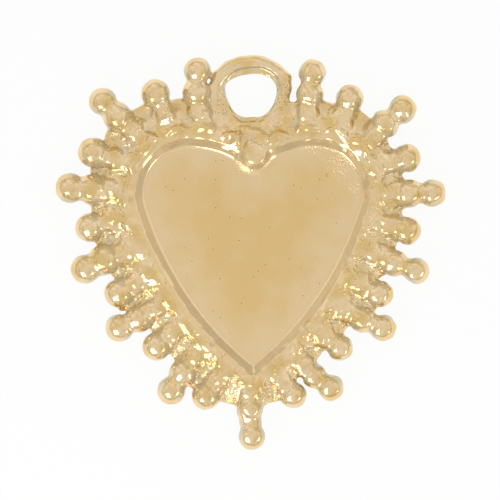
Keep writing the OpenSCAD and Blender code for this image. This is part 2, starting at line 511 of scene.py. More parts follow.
# Anticlockwise from the loop's left leg, in the photograph's pixels
RAYS = [
    ray(1, (205, 135, 11.5), (199, 114.5, 12.8), (196.6, 93, 14.3), (197.6, 71, 13.6)),
    ray(2, (178, 134.5, 11.5), (167, 116.5, 12.4), (155.7, 93.8, 14.5)),
    ray(3, (152, 146, 11.5), (135, 132, 12.8), (117.6, 116.9, 14.8), (103, 101.7, 14)),
    ray(4, (137, 164.5, 11.5), (116, 159.5, 13), (93.3, 152.6, 15.2)),
    ray(5, (130.5, 191, 12), (112, 189.5, 13.2), (92.5, 189.7, 15.7), (70.6, 188.2, 15.1)),
    ray(6, (131, 217, 12), (112, 219.5, 13), (89.7, 227.7, 14.3)),
    ray(7, (139.5, 245.5, 12.5), (124, 253, 12.8), (104, 259.8, 15.6), (85.8, 269, 14.8)),
    ray(8, (151.5, 273.5, 12.5), (137, 282.5, 12.6), (119, 293, 14.5)),
    ray(9, (167.5, 298.5, 12.5), (155, 309, 12.6), (139, 318.8, 13.8), (119.6, 327.8, 14)),
    ray(10, (186.5, 322, 12.5), (172, 333, 12.8), (156.9, 346.1, 14.3)),
    ray(11, (206.5, 345, 12.5), (196, 358.5, 12.4), (183, 372.6, 13.9), (171.4, 390.3, 14.1)),
    ray(12, (227, 364.5, 12), (218.5, 379, 12.2), (206, 395.3, 14.2)),
    ray(13, (251.5, 379, 12), (250, 396, 13), (249.6, 409, 13.6), (250.6, 421, 11.6),
        (251.8, 436.3, 13.4)),
    ray(14, (272, 367, 12), (281.5, 380.5, 12.2), (293.2, 394.8, 13.3)),
    ray(15, (290, 351, 12), (302, 363, 11.8), (314, 375.8, 12.4), (330.6, 387.5, 13.2)),
    ray(16, (312.5, 325, 12), (325, 335.8, 12.2), (340, 347.3, 13.1)),
    ray(17, (329.5, 301, 12), (345.5, 310, 12.4), (362.5, 319.2, 13.2), (382.6, 327.9, 13.4)),
    ray(18, (344.5, 275, 12), (360.5, 284, 12.6), (379.4, 293.9, 13.6)),
    ray(19, (360, 246, 12), (377, 253.5, 12.8), (394, 262.8, 13.6), (416.2, 270.9, 13.3)),
    ray(20, (369.5, 219.5, 12), (387, 225, 12.8), (406.4, 230.5, 14.3)),
    ray(21, (374, 194, 12), (390, 193.5, 13), (408, 193.6, 14.6), (432, 193.2, 13.7)),
    ray(22, (371, 170, 12), (387, 164.5, 12.8), (406.4, 158.3, 14.3)),
    ray(23, (358, 150, 11.5), (371, 138, 12.8), (384.8, 124, 14.4), (402.1, 109.7, 14.1)),
    ray(24, (335, 135.5, 11.5), (342, 118.5, 12.4), (349.5, 98.5, 13.8)),
    ray(25, (307, 134, 11.5), (308, 114, 12.8), (309.6, 94.3, 13.7), (312.3, 73.4, 13.7)),
]


@dataclass(frozen=True)
class BackPlate:
    """The heart-shaped plate: the tray's floor in the middle and the web round it.

    The web's edge bulges where metal ran into the notches between the rays, and has a few dents.
    """

    web_w: float = 3.55
    shift: float = -0.2
    edge_round: float = 0.18
    notch_r: float = 2.15
    point_web: float = 3.07
    trim_r: float = 7.6
    step: float = 0.1
    bulges: Sequence[Bead] = tuple(Bead(*place) for place in (
        (146, 110, 7), (138.5, 115, 7), (133, 118.5, 7.5), (115, 131, 7), (111, 136, 7.5),
        (178, 105.5, 8), (95, 170.5, 6), (97, 207, 7.5), (101, 240, 7), (116.5, 270, 8), (122, 307, 6),
        (190, 383, 6), (370, 305, 8), (382, 271, 6), (391, 243.5, 6),
        (366, 120, 5.5), (357, 112, 5), (392, 179, 5)))
    dents: Sequence[Bead] = (Bead(327, 356, 15), Bead(302, 383, 10))
    dent_depth: float = 0.5
    bulge_reach: float = 1.5
    smooth_passes: int = 6

    def swelling(self) -> list[float]:
        """How far the web's edge stands out of its plain outline.

        Returns:
            Millimetres at each of the outline's points.
        """
        found = []
        inner = HEART.loop(0.0, self.shift, self.step)
        for here, inside in zip(HEART.loop(self.web_w, self.shift, self.step), inner):
            along = (Vector(here) - Vector(inside)).normalized()
            most = 0.0
            for spot in self.bulges:
                away = Vector(spot.place) - Vector(here)
                reach = spot.r ** 2 - away.cross(along) ** 2
                if reach > 0 and away.length < self.bulge_reach:
                    most = max(most, away.dot(along) + math.sqrt(reach))
            for dent in self.dents:
                share = 1 - (math.dist(here, dent.place) / dent.r) ** 2
                most = min(most, -self.dent_depth * share) if share > 0 else most
            found.append(most)
        for _ in range(self.smooth_passes):
            found = [(found[i - 1] + 2 * found[i] + found[(i + 1) % len(found)]) / 4
                     for i in range(len(found))]
        return found

    def outline(self, grow: float) -> list[Point]:
        """The web's outer edge, with the hole's notch above and the trimmed end below.

        Args:
            grow: millimetres outside the web's edge.

        Returns:
            Its points.
        """
        low = -HEART.rise - HEART.point_drop - self.point_web - grow
        trim_r = self.trim_r + grow
        notch = self.notch_r - grow
        places = []
        inner = HEART.loop(0.0, self.shift, self.step)
        outer = HEART.loop(self.web_w + grow, self.shift, self.step)
        for here, inside, swell in zip(outer, inner, self.swelling()):
            x, z = Vector(here) + (Vector(here) - Vector(inside)).normalized() * swell
            if abs(x) < notch and z > -HEART.lobe_r:
                z = min(z, -math.sqrt(notch ** 2 - x ** 2))
            if abs(x - self.shift) < trim_r and z < low + trim_r / 2:
                z = max(z, low + trim_r - math.sqrt(trim_r ** 2 - (x - self.shift) ** 2))
            places.append((x, z))
        return places

    def build(self, target: bmesh.types.BMesh) -> None:
        """Adds the plate's metal to the casting.

        Args:
            target: the casting's mesh.
        """
        r = self.edge_round
        levels = [(-r, PLATE_FRONT), (-r / 3, PLATE_FRONT + r / 3), (0.0, PLATE_FRONT + r),
                  (0.0, PLATE_BACK - r), (-r / 3, PLATE_BACK - r / 3), (-r, PLATE_BACK)]
        pour(target, loft([at_depth(self.outline(grow), depth) for grow, depth in levels]))


@dataclass(frozen=True)
class Bezel:
    """The wall round the tray: a slope on its inner side, and a rounded crest.

    The tray's space cuts a little into the floor and widens past the rim. The flare gives how far
    outside the rim and above the crest, and the mouth how far outside the rim and at what depth.
    """

    height: float = 0.6
    slope_w: float = 0.7
    rim_w: float = 0.2
    back_w: float = 0.5
    sunk: float = 0.3
    shift: float = 0.15
    seams: Point = (-0.03, 0.75)
    floor_cut: float = 0.01
    flare: Sequence[Point] = ((0.0, 0.02), (0.55, 0.3))
    mouth: Point = (0.8, -4.0)

    def build(self, target: bmesh.types.BMesh) -> None:
        """Adds the wall's metal to the casting.

        Args:
            target: the casting's mesh.
        """
        crest = self.slope_w + self.rim_w
        sunk, top = PLATE_FRONT + self.sunk, PLATE_FRONT - self.height
        levels = [(0.0, sunk), (0.0, PLATE_FRONT), (self.slope_w, top), (crest, top),
                  (crest + self.back_w, PLATE_FRONT), (crest + self.back_w, sunk)]
        pour(target, heart_loft(levels, self.shift))

    def tray(self) -> bmesh.types.BMesh:
        """The space that stays clear of metal.

        Returns:
            A body over the floor and the slope, which widens past the crest.
        """
        crest = PLATE_FRONT - self.height
        rim = self.slope_w + self.rim_w
        levels = [(0.0, PLATE_FRONT + self.floor_cut), (self.slope_w, crest)]
        levels += [(rim + outside, crest - above) for outside, above in self.flare]
        levels.append((rim + self.mouth[0], self.mouth[1]))
        return heart_loft(levels, self.shift, closed=False)

    def cell(self) -> bmesh.types.BMesh:
        """The space between the tray's edge and the back of the rim, above the plate."""
        return above_plate(self.seams, self.shift)


@dataclass(frozen=True)
class Bank:
    """Metal that ran against the bezel's outer side and thins out over the web.

    The profile gives millimetres outside the tray's edge, and depth behind the plate's front.
    """

    profile: Sequence[Point] = ((0.6, 0.3), (0.6, -0.56), (1.2, -0.47), (2.2, -0.22), (3.1, 0.0),
                                (3.1, 0.3))

    def build(self, target: bmesh.types.BMesh) -> None:
        """Adds the bank's metal to the casting."""
        pour(target, heart_loft([(grow, PLATE_FRONT + depth) for grow, depth in self.profile]))


@dataclass(frozen=True)
class Granules:
    """The granules on the bezel's outer side, one at each ray's foot and two at the cleft.

    The casting drew them out along the wall, most of all on the lower flanks.
    """

    top: float = 0.98
    top_low: float = 0.84
    across: float = 0.84
    flat: float = 0.6
    square: float = 2.8
    stretch: float = 1.12
    stretch_low: float = 1.3
    low_feet: range = range(4, 22)
    seams: Point = (0.7, 2.7)
    spare: tuple[Bead, ...] = (Bead(229, 141, 11.5), Bead(279, 141, 11.5))

    def build(self, target: bmesh.types.BMesh) -> None:
        """Adds the granules' metal to the casting.

        Args:
            target: the casting's mesh.
        """
        feet = tuple(ray.foot for ray in RAYS)
        for number, bead in enumerate(feet + self.spare):
            x, z = bead.place
            low = number in self.low_feet
            if number < len(feet):
                before, after = feet[number - 1], feet[(number + 1) % len(feet)]
                turn = math.atan2(before.py - after.py, after.px - before.px)
            else:
                turn = 0.0
            radii = Vector((bead.r * (self.stretch_low if low else self.stretch),
                            bead.r * self.flat, bead.r * self.across))
            top = self.top_low if low else self.top
            lump(target, Vector((x, PLATE_FRONT - top + radii.y, z)), radii, turn, self.square)

    def cell(self) -> bmesh.types.BMesh:
        """The band of space outside the bezel, above the plate."""
        return above_plate(self.seams)


@dataclass(frozen=True)
class CleftGranule:
    """The larger granule above the cleft, worn flat, with a sloped foot that blunts the cleft.

    Two mounds of solder, given as pixel, half sizes and height in millimetres, lie above it.
    """

    bead: Bead = Bead(254.8, 154.5, 13)
    top: float = 0.98
    flat: float = 0.7
    square: float = 3.0
    foot_px: Point = (253.2, 155.5)
    foot_r: float = 1.15
    foot_top: float = 0.6
    foot_sunk: float = 0.2
    solder: Sequence[tuple[float, ...]] = ((255, 147.5, 1.55, 1.2, 0.66), (254, 138, 2.7, 1.0, 0.5))
    solder_deep: float = 0.8
    margin: float = 0.1
    cell_sides: int = 48

    def build(self, target: bmesh.types.BMesh) -> None:
        """Adds the granule's metal to the casting.

        Args:
            target: the casting's mesh.
        """
        x, z = self.bead.place
        r = self.bead.r
        deep = r * self.flat
        lump(target, Vector((x, PLATE_FRONT - self.top + deep, z)), Vector((r, deep, r)),
             square=self.square)
        for px, py, wide, high, top in self.solder:
            x, z = in_frame(px, py)
            lump(target, Vector((x, PLATE_FRONT - top + self.solder_deep, z)),
                 Vector((wide, self.solder_deep, high)))
        foot_x, foot_z = in_frame(*self.foot_px)
        stem(target, Vector((foot_x, PLATE_FRONT + self.foot_sunk, foot_z)),
             Vector((foot_x, PLATE_FRONT - self.foot_top, foot_z)),
             self.foot_r + self.foot_sunk, self.foot_r - self.foot_top)

    def cell(self) -> bmesh.types.BMesh:
        """The space that holds the granule.

        Returns:
            A round column above the plate.
        """
        x, z = self.bead.place
        reach = self.bead.r + self.margin
        turns = [i * math.tau / self.cell_sides for i in range(self.cell_sides)]
        edge = [(x + reach * math.cos(turn), z + reach * math.sin(turn)) for turn in turns]
        return loft([at_depth(edge, SEAM), at_depth(edge, IN_FRONT)])


@dataclass(frozen=True)
class Loop:
    """The hanging loop: a rounded band over a hole that narrows downwards, on two flat legs."""

    hole_px: Sequence[Point] = (
        (254, 73.8), (262, 74.6), (269, 77.2), (274, 81.9), (276.3, 87.6), (276.1, 95), (273.2, 104.9),
        (267.8, 112.5), (258.3, 116.7), (248, 117.2), (239.1, 115), (232.7, 109.3), (228.1, 100.8),
        (225.4, 91), (226.6, 83.2), (238.2, 76.3))
    lip_px: Sequence[Point] = (
        (254, 67.2), (262, 67.8), (270.2, 70.8), (277.5, 77.2), (280, 86.5), (278, 95.3),
        (275.2, 106), (270.4, 115.6), (260, 121.6), (248, 122.4), (236.8, 119.8), (230.8, 110.8),
        (226.6, 101.4), (223.8, 91.2), (225.2, 81), (236, 70.6))
    outer_px: Sequence[Point] = (
        (252, 60.8), (265, 63.4), (276, 69.4), (284.6, 78), (289.5, 88), (289.4, 97), (288.2, 106),
        (283, 118), (268, 128), (250, 131), (232, 128), (218, 118), (211, 106), (210.2, 97),
        (211.8, 86), (216.6, 76), (226.5, 67.8), (238.6, 63))
    band_px: Sequence[Place] = (
        (215.5, 98, 5.2), (215.2, 87, 6.2), (219.6, 77.4, 7.9), (228.5, 69.9, 8.3), (240.2, 65.1, 8.5),
        (252.4, 63.4, 8.6), (264, 65.5, 8.6), (275, 71.2, 8.6), (283.4, 79.2, 8.6), (285.2, 88.5, 7.2),
        (284.6, 97, 5.6), (283, 105, 4.6))
    curve_points: int = 8
    leg_front: float = -0.54
    lip_back: float = -0.3
    lip_step: float = 0.01
    band_depth: float = -0.24
    cell_side: float = 3.24
    cell_top: float = 3.6
    cell_leg: float = 0.9
    ring_r: float = 2.36
    ring_steps: int = 24

    def rounded(self, corners: Sequence[Point]) -> list[Point]:
        """Runs a smooth closed curve through some places.

        Args:
            corners: places in the photograph's pixels.

        Returns:
            Points in millimetres.
        """
        places = [Vector(in_frame(*corner)) for corner in corners]
        found = []
        for i, here in enumerate(places):
            before = places[i - 1]
            after, last = (places[(i + step) % len(places)] for step in (1, 2))
            for k in range(self.curve_points):
                t = k / self.curve_points
                square = (2 * before - 5 * here + 4 * after - last) * t ** 2
                cube = (3 * here - before - 3 * after + last) * t ** 3
                bend = (2 * here + (after - before) * t + square + cube) / 2
                found.append((bend.x, bend.y))
        return found

    def build(self, target: bmesh.types.BMesh) -> None:
        """Adds the loop's metal to the casting.

        Args:
            target: the casting's mesh.
        """
        hole, outer = self.rounded(self.hole_px), self.rounded(self.outer_px)
        rings = [at_depth(outer, PLATE_BACK), at_depth(hole, PLATE_BACK),
                 at_depth(hole, self.leg_front), at_depth(outer, self.leg_front)]
        pour(target, loft(rings, closed=True))
        beads = [Bead(*place) for place in self.band_px]
        for bead, after in zip(beads, beads[1:]):
            start = Vector((bead.place[0], self.band_depth, bead.place[1]))
            end = Vector((after.place[0], self.band_depth, after.place[1]))
            stem(target, start, end, bead.r, after.r)
            lump(target, start, Vector((bead.r, bead.r, bead.r)))

    def clear(self) -> bmesh.types.BMesh:
        """The space that stays clear of metal.

        Returns:
            The hole, and the step round it in front.
        """
        hole, lip = self.rounded(self.hole_px), self.rounded(self.lip_px)
        return loft([at_depth(hole, BEHIND), at_depth(hole, self.lip_back + self.lip_step),
                     at_depth(lip, self.lip_back), at_depth(lip, IN_FRONT)])

    def cell(self) -> bmesh.types.BMesh:
        """The space that holds the loop.

        Returns:
            A body round the arch, its legs and the ring of metal under the hole.
        """
        side, top, leg = self.cell_side, self.cell_top, self.cell_leg
        start = math.asin(leg / self.ring_r)
        turns = [-start - (math.pi - 2 * start) * i / self.ring_steps
                 for i in range(self.ring_steps + 1)]
        under = [(self.ring_r * math.cos(turn), self.ring_r * math.sin(turn)) for turn in turns]
        edge = [(-side, -leg), (-side, top), (side, top), (side, -leg)] + under
        return loft([at_depth(edge, BEHIND), at_depth(edge, IN_FRONT)])


@dataclass(frozen=True)
class Surface:
    """How the skin's finish differs from place to place, in shares from 0 to 1.

    Every method takes rows of x, y and z in millimetres. Ramps are a start and a width. A scuff is
    its pixel, its reach in pixels and its share. The tone is how deep the colour is: patchy outside
    the tray and on the back, even on the tray's slope, deeper in a band on the bank, and deep in the
    tray's middle, which is painted reflection of the darker camera side.
    """

    off_bead: Point = (0.9, 0.2)
    off_bezel: Point = (0.9, 0.3)
    upper_z: float = -3.0
    upper_web: float = 0.3
    loop_half: float = 3.1
    loop_low: float = -2.4
    tray_edge: float = 0.1
    leg_x: Point = (1.75, 2.75)
    leg_z: Point = (-1.5, 0.9)
    leg_pits: float = 0.85
    tray_pits: float = 0.018
    other_pits: float = 0.008
    scuffs: Sequence[tuple[float, ...]] = (
        (341, 163, 28, 1.3), (314, 151, 15, 0.9), (354, 188, 17, 1.0), (240, 174, 16, 0.5),
        (184, 156, 13, 0.4))
    patch_mm: float = 1.1
    patch_share: float = 1.5
    patchy: Point = (0.75, 0.35)
    plain_tone: float = 0.3
    bank_tone: float = 0.4
    bank_at: float = 1.5
    bank_half: float = 0.9
    back_tone: float = 0.4
    back_patch: float = 0.6
    reflection_reach: float = 3.5

    def web(self, places: np.ndarray) -> np.ndarray:
        """How far places are out of the beads and granules, on the grainy metal between them.

        Args:
            places: where it is asked.

        Returns:
            Shares from 0 on a bead to 1 between them.
        """
        beads = [bead for ray in RAYS for bead in (ray.foot, ray.inner, *ray.outer)]
        beads += [*Granules().spare, CleftGranule().bead]
        nearest = np.full(len(places), np.inf)
        for bead in beads:
            nearest = np.minimum(nearest, gap_to(places, bead.place) / bead.r)
        apart = HEART.distance(places)
        share = rising(nearest, self.off_bead) * rising(apart, self.off_bezel)
        share *= np.where(places[:, 2] > self.upper_z, self.upper_web, 1.0)
        loop = (np.abs(places[:, 0]) < self.loop_half) & (places[:, 2] > self.loop_low)
        return np.where(loop, 0.0, share)

    def in_tray(self, places: np.ndarray) -> np.ndarray:
        """Whether places lie in the tray, on the front's side of the plate."""
        return (HEART.distance(places) < self.tray_edge) & (places[:, 1] < PLATE_MIDDLE)

    def pits(self, places: np.ndarray) -> np.ndarray:
        """How many casting pits places have: most on the loop's legs, a few on the tray's floor.

        Args:
            places: where it is asked.

        Returns:
            The share of the cells of a pit's size that hold one.
        """
        x, z = np.abs(places[:, 0]), places[:, 2]
        legs = (x > self.leg_x[0]) & (x < self.leg_x[1]) & (z > self.leg_z[0]) & (z < self.leg_z[1])
        floor = np.where(self.in_tray(places), self.tray_pits, self.other_pits)
        return np.where(legs, self.leg_pits, floor)

    def scuffed(self, places: np.ndarray) -> np.ndarray:
        """How scuffed places are: most in the tray's upper right, and a little under the cleft.

        Args:
            places: where it is asked.

        Returns:
            Shares, past 1 where the scuffs are coarse.
        """
        share = np.zeros(len(places))
        for px, py, reach, most in self.scuffs:
            away = gap_to(places, in_frame(px, py)) / (reach * PIXEL_MM)
            share = np.maximum(share, most * np.clip(1 - away, 0, 1))
        return share * self.in_tray(places)

    def tone(self, places: np.ndarray) -> np.ndarray:
        """How deep the colour is: random patches, a deeper band on the bank, and painted reflection
        that deepens towards the tray's middle.

        Args:
            places: where it is asked.

        Returns:
            Shares from 0, pale, to 1, deep.
        """
        apart = HEART.distance(places)
        patches = np.array([noise.noise(Vector(place) / self.patch_mm) for place in places])
        share = rising(apart, self.patchy)
        bank = self.bank_tone * np.clip(1 - np.abs(apart - self.bank_at) / self.bank_half, 0, 1)
        outside = np.clip(self.plain_tone + bank + self.patch_share * share * patches, 0, 1)
        back = places[:, 1] > PLATE_MIDDLE
        outside = np.where(back, np.clip(self.back_tone + self.back_patch * patches, 0, 1), outside)
        # Painted reflection: the tray's floor deepens towards its middle, where the darker camera side
        # reflects
        return np.where((apart < 0) & ~back, np.clip(-apart / self.reflection_reach, 0, 1), outside)


SURFACE = Surface()


def points_of(mesh: bpy.types.Mesh) -> np.ndarray:
    """A mesh's points, as rows of x, y and z."""
    found = np.empty(len(mesh.vertices) * 3, np.float32)
    mesh.vertices.foreach_get("co", found)
    return found.reshape(-1, 3)


def normals_of(mesh: bpy.types.Mesh) -> np.ndarray:
    """Which way the skin faces at a mesh's points, as rows of x, y and z."""
    found = np.empty(len(mesh.vertices) * 3, np.float32)
    mesh.vertex_normals.foreach_get("vector", found)
    return found.reshape(-1, 3)


def move_points(mesh: bpy.types.Mesh, places: np.ndarray) -> None:
    """Moves a mesh's points to rows of x, y and z."""
    mesh.vertices.foreach_set("co", places.reshape(-1))
    mesh.update()


class Neighbours:
    """Which points of a skin an edge joins."""

    def __init__(self, mesh: bpy.types.Mesh) -> None:
        """Reads a mesh's edges.

        Args:
            mesh: the skin.
        """
        edges = np.empty(len(mesh.edges) * 2, np.int32)
        mesh.edges.foreach_get("vertices", edges)
        ends = edges.reshape(-1, 2)
        self.start = np.concatenate((ends[:, 0], ends[:, 1]))
        self.end = np.concatenate((ends[:, 1], ends[:, 0]))
        self.links = np.bincount(self.start, minlength=len(mesh.vertices))

    def mean(self, places: np.ndarray) -> np.ndarray:
        """The mean of each point's neighbours.

        Args:
            places: the points, as rows of x, y and z.

        Returns:
            A row for each point.
        """
        return np.stack([np.bincount(self.start, places[self.end, axis], len(self.links)) / self.links
                         for axis in range(3)], axis=1)


class Part(Protocol):
    """A part of the master that the charm was cast from."""

    def build(self, target: bmesh.types.BMesh) -> None:
        """Adds its metal to the casting."""


class Side(Enum):
    """The sides of a cut, by the Boolean modifier's own names."""

    INSIDE = "INTERSECT"
    OUTSIDE = "DIFFERENCE"


@dataclass
class Casting:
    """The whole charm as one lump of metal, which is then cut into its pieces.

    Lengths are in millimetres, and ramps are a start or end and a width. Flow, wear and softening
    are how much of its way to the middle of its neighbours a point goes in one pass.
    """

    voxel: float = VOXEL_MM
    # Edges round off, and metal runs into hollows
    soft_mm: float = 0.22
    run_mm: float = 0.85
    soften: float = 0.5
    flow: float = 0.5
    wear: float = 0.03
    tip_flow: float = 0.18
    tips: Point = (3.0, 0.8)
    # Edges stay crisp on the loop, round its hole and on the bezel, except at the cleft
    crisp_x: float = 3.75
    crisp_z: float = -0.75
    crisp_hole: float = 2.3
    crisp_rim: float = 0.8
    cleft_reach: float = 1.6
    crisp_soften: float = 0.16
    crisp_flow: float = 0.02
    # Lumps and domes outside the tray, grain between the beads, ripples elsewhere on the front
    rough: Point = (0.4, 0.7)
    rough_back: Point = (0.45, 0.3)
    lump_mm: float = 0.65
    dome_mm: float = 0.95
    dome_level: float = 0.45
    dome_share: float = 1.4
    lump_rise: float = 0.125
    tip_rise: float = 0.035
    tip_rise_right: float = 0.02
    right: Point = (0.0, 6.0)
    smooth_tips: Point = (2.8, 0.8)
    grain_mm: float = 0.26
    grain_rise: float = 0.09
    grain_front: float = 3.0
    floor_mm: float = 2.4
    floor_rise: float = 0.012
    box_margin: float = 0.002
    # How deep a crease counts, and the walls that face the middle; both get painted shade, a greyer and
    # less metallic colour
    hollow_mm: float = 0.4
    hollow: Point = (0.03, 0.075)
    hollow_rim: Point = (0.6, 0.25)
    hollow_cleft: float = 1.3
    wall_shade_share: float = 0.85
    wall_lean: Point = (0.85, 0.3)
    wall_front: float = 0.9
    wall_facing: Point = (0.55, 0.5)
    middle_z: float = -10.5
    mesh: bpy.types.Mesh | None = None
    crease_shade: np.ndarray | None = None
    tree: kdtree.KDTree | None = None

    def cast(self, parts: Sequence[Part], clear: Sequence[bmesh.types.BMesh],
             late: Sequence[Part]) -> None:
        """Melts the parts into one skin.

        Args:
            parts: what is built into it.
            clear: spaces that those parts leave clear.
            late: parts that may stand in those spaces.
        """
        whole = bmesh.new()
        for part in parts:
            part.build(whole)
        self.mesh = self.joined(whole)
        self.cut(clear)
        whole = opened(self.mesh)
        for part in late:
            part.build(whole)
        self.mesh = self.joined(whole)
        self.melt()
        self.roughen()
        self.sound()

    def joined(self, whole: bmesh.types.BMesh) -> bpy.types.Mesh:
        """Joins overlapping bodies into one even skin.

        Args:
            whole: the bodies, which are freed.

        Returns:
            The skin.
        """
        carrier = in_scene("casting", closed_up(whole, "casting"))
        skin = carrier.modifiers.new("skin", "REMESH")
        skin.mode = "VOXEL"
        skin.voxel_size = self.voxel
        return self.baked(carrier)

    def melt(self) -> None:
        """Lets the metal run into the hollows between the parts, and rounds its edges."""
        soft = round(self.soft_mm ** 2 / self.voxel ** 2)
        passes = round(self.run_mm ** 2 / self.voxel ** 2)
        grid = points_of(self.mesh)
        apart = HEART.distance(grid)
        far = rising(apart, self.tips)
        crisp = (np.abs(grid[:, 0]) < self.crisp_x) & (grid[:, 2] > self.crisp_z)
        crisp |= gap_to(grid, (0.0, 0.0)) < self.crisp_hole
        off_cleft = gap_to(grid, CleftGranule().bead.place) > self.cleft_reach
        crisp |= (apart < self.crisp_rim) & (grid[:, 1] < 0) & off_cleft
        flow = np.where(crisp, self.crisp_flow, self.flow + (self.tip_flow - self.flow) * far)
        wear = self.wear * (1 - far) * ~crisp
        soften = np.where(crisp, self.crisp_soften, self.soften)[:, None]
        neighbours = Neighbours(self.mesh)
        for number in range(soft + passes):
            pull = neighbours.mean(grid) - grid
            hollow = (pull * normals_of(self.mesh)).sum(axis=1) > 0
            share = soften if number < soft else np.where(hollow, flow, wear)[:, None]
            grid = (grid + pull * share).astype(np.float32)
            move_points(self.mesh, grid)
        LOG.info("melted in %d passes, %d points", passes, len(grid))

    def roughen(self) -> None:
        """Gives the skin the uneven lumps, grain and ripples of a casting."""
        grid, out = points_of(self.mesh), normals_of(self.mesh)
        apart = HEART.distance(grid)
        web = SURFACE.web(grid) * np.clip(-out[:, 1] * self.grain_front, 0, 1)
        outside = rising(apart, self.rough) * falling(grid[:, 1], self.rough_back)
        tips = self.tip_rise + self.tip_rise_right * rising(grid[:, 0], self.right)
        lumps = self.lump_rise + (tips - self.lump_rise) * rising(apart, self.smooth_tips)
        rise = np.zeros(len(grid))
        for i, row in enumerate(grid):
            place = Vector(row)
            if outside[i] > 0:
                dome = self.dome_level - noise.voronoi(place / self.dome_mm)[0][0]
                uneven = noise.noise(place / self.lump_mm) + self.dome_share * dome
                rise[i] = lumps[i] * outside[i] * uneven
                if web[i] > 0:
                    rise[i] += self.grain_rise * web[i] * noise.noise(place / self.grain_mm)
            elif row[1] < 0:
                rise[i] = self.floor_rise * noise.noise(place / self.floor_mm)
        grid = grid + out * rise[:, None]
        low, high = (np.array(corner) / MM for corner in CAD_BOX)
        grid = np.clip(grid, low + self.box_margin, high - self.box_margin).astype(np.float32)
        move_points(self.mesh, grid)

    def sound(self) -> None:
        """Finds how hollow the skin is at each point, and keeps that for the pieces as the share of
        painted shade in creases and on steep walls that face the middle.
        """
        grid, out = points_of(self.mesh).astype(float), normals_of(self.mesh)
        neighbours = Neighbours(self.mesh)
        smooth = grid.copy()
        for _ in range(round(self.hollow_mm ** 2 / self.voxel ** 2)):
            smooth = neighbours.mean(smooth)
        sunk = ((smooth - grid) * out).sum(axis=1)
        at_cleft = gap_to(grid, CleftGranule().bead.place) < self.hollow_cleft
        outer = np.maximum(rising(HEART.distance(grid), self.hollow_rim), at_cleft)
        steep = falling(np.abs(out[:, 1]), self.wall_lean)
        steep = steep * (grid[:, 1] > PLATE_FRONT - self.wall_front)
        never_nought = 1e-9
        away = np.stack((grid[:, 0], grid[:, 2] - self.middle_z), axis=1)
        away /= np.linalg.norm(away, axis=1)[:, None] + never_nought
        facing = out[:, 0] * away[:, 0] + out[:, 2] * away[:, 1]
        shaded_walls = steep * falling(facing, self.wall_facing)
        creases = rising(sunk, self.hollow)
        self.crease_shade = np.maximum(creases, self.wall_shade_share * shaded_walls) * outer
        self.tree = kdtree.KDTree(len(grid))
        for i, place in enumerate(grid):
            self.tree.insert(place, i)
        self.tree.balance()

    def crease_shade_at(self, places: np.ndarray) -> np.ndarray:
        """How hollow the skin is at some places: 0 on flat metal and beads, 1 in a deep crease, as the
        share of painted crease shade.
        """
        return np.array([self.crease_shade[self.tree.find(place)[1]] for place in places])

    @staticmethod
    def baked(carrier: bpy.types.Object) -> bpy.types.Mesh:
        """Applies an object's modifiers.

        Args:
            carrier: the object, which is removed.

        Returns:
            Its mesh with the modifiers applied.
        """
        graph = bpy.context.evaluated_depsgraph_get()
        mesh = bpy.data.meshes.new_from_object(carrier.evaluated_get(graph))
        bpy.data.objects.remove(carrier)
        return mesh

    def cut(self, cells: Sequence[bmesh.types.BMesh]) -> bpy.types.Mesh:
        """Takes what lies in some cells out of the casting.

        Args:
            cells: blocks of space that don't meet.

        Returns:
            The metal in them.
        """
        block = bmesh.new()
        for cell in cells:
            pour(block, cell)
        tool = in_scene("cell", closed_up(block, "cell"))
        results: dict[Side, bpy.types.Mesh] = {}
        for side in Side:
            carrier = in_scene("casting", self.mesh)
            step = carrier.modifiers.new("cut", "BOOLEAN")
            step.solver = "MANIFOLD"
            step.operation = side.value
            step.object = tool
            results[side] = self.baked(carrier)
        bpy.data.objects.remove(tool)
        self.mesh = results[Side.OUTSIDE]
        return results[Side.INSIDE]


def to_piece(bm: bmesh.types.BMesh, node: str, finish: bpy.types.Material,
             casting: Casting) -> None:
    """Makes a finished piece of a mesh in millimetres.

    Args:
        bm: the mesh, which is freed.
        node: the node that it stands for.
        finish: its material.
        casting: what it was cut from.
    """
    name = node + "_cast"
    places = np.array([vert.co for vert in bm.verts])
    bmesh.ops.scale(bm, vec=Vector((MM, MM, MM)), verts=bm.verts)
    mesh = closed_up(bm, name)
    grain = np.maximum(SURFACE.web(places) / 2, SURFACE.scuffed(places))
    # The hollow layer carries the share of painted shade in creases and on steep walls
    # The tone layer carries random tone patches, a deeper bank band and painted reflection in the
    # tray's middle
    for layer, values in (("grain", grain), ("pits", SURFACE.pits(places)),
                          ("tone", SURFACE.tone(places)), ("hollow", casting.crease_shade_at(places))):
        data = mesh.attributes.new(layer, "FLOAT", "POINT").data
        data.foreach_set("value", values.astype(np.float32))
    mesh.shade_smooth()
    mesh.set_sharp_from_angle(angle=math.radians(SHARP_DEG))
    mesh.materials.append(finish)
    piece = in_scene(name, mesh)
    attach(piece, "root")
    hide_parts(node)
    LOG.info("%s: %d faces", name, len(mesh.polygons))


def islands(mesh: bpy.types.Mesh) -> list[bmesh.types.BMesh]:
    """Splits a mesh into its separate bodies.

    Args:
        mesh: the mesh, which stays.

    Returns:
        Each body, in the order of their first points.
    """
    bm = opened(mesh)
    seen: set[bmesh.types.BMVert] = set()
    bodies = []
    for start in bm.verts:
        if start in seen:
            continue
        group, todo = [], [start]
        seen.add(start)
        while todo:
            vert = todo.pop()
            group.append(vert)
            for edge in vert.link_edges:
                other = edge.other_vert(vert)
                if other not in seen:
                    seen.add(other)
                    todo.append(other)
        body = bmesh.new()
        new = {vert: body.verts.new(vert.co) for vert in group}
        for face in dict.fromkeys(face for vert in group for face in vert.link_faces):
            body.faces.new([new[vert] for vert in face.verts])
        bodies.append(body)
    bm.free()
    return bodies


